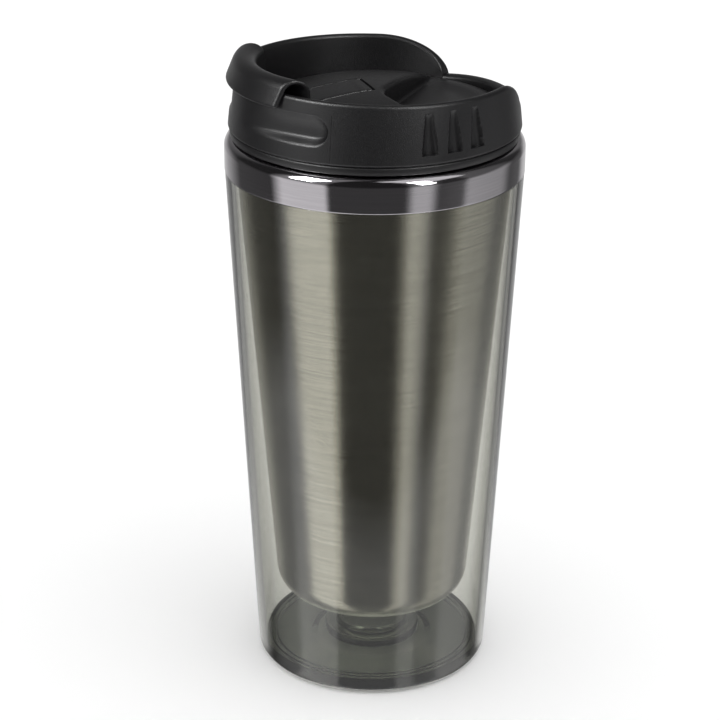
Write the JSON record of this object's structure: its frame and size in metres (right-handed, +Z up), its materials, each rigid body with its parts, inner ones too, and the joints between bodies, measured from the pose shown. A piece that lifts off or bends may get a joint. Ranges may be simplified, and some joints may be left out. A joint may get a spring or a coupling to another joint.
{
  "type": "insulated travel mug",
  "caption": "Double-walled travel mug with a steel liner in a clear smoked shell and a screw-on lid with a flip-back drinking flap.",
  "frame": {"origin": "centre of the base on the surface that the mug stands on", "axes": "+Z up along the mug's axis; the lid's hook and drinking side face -X, its low rear notch faces +X"},
  "size_m": [0.086, 0.086, 0.1882],
  "materials": {
    "smoke_shell": "polished, smoke-tinted and clear",
    "clear_plastic": "polished and clear",
    "liner_steel": "brushed round the mug",
    "collar_steel": "polished with fine brushing",
    "pin_steel": "plain",
    "black_plastic": "fine texture",
    "silicone": "matt"
  },
  "bodies": {
    "mug": {"outer_shell": "smoke_shell", "base_disc": "clear_plastic", "base_boss": "clear_plastic", "steel_liner": "liner_steel", "rim_seal": "silicone", "rim_collar": "collar_steel", "mouth_ring": "black_plastic"},
    "gasket": {"lid_gasket": "silicone"},
    "lid": {"lid_shell": "black_plastic", "lid_deck": "black_plastic", "lid_floor": "black_plastic", "flap_pin": "pin_steel"},
    "flap": {"flap": "black_plastic", "spout_seal": "silicone"}
  },
  "joints": [
    {"name": "lid_rise", "type": "slide", "parent": "mug", "child": "gasket", "axis": [0, 0, 1], "range_m": [0, 0.024]},
    {"name": "lid_turn", "type": "hinge", "parent": "gasket", "child": "lid", "pos_m": [0, 0, 0.165], "axis": [0, 0, 1], "range_deg": [0, 720]},
    {"name": "flap_hinge", "type": "hinge", "parent": "lid", "child": "flap", "pos_m": [-0.0045, 0, 0.178], "axis": [0, 1, 0], "range_deg": [0, 105]}
  ],
  "couplings": [
    {"joint": "lid_rise", "follows": "lid_turn", "m_per_rad": 0.0019099}
  ]
}
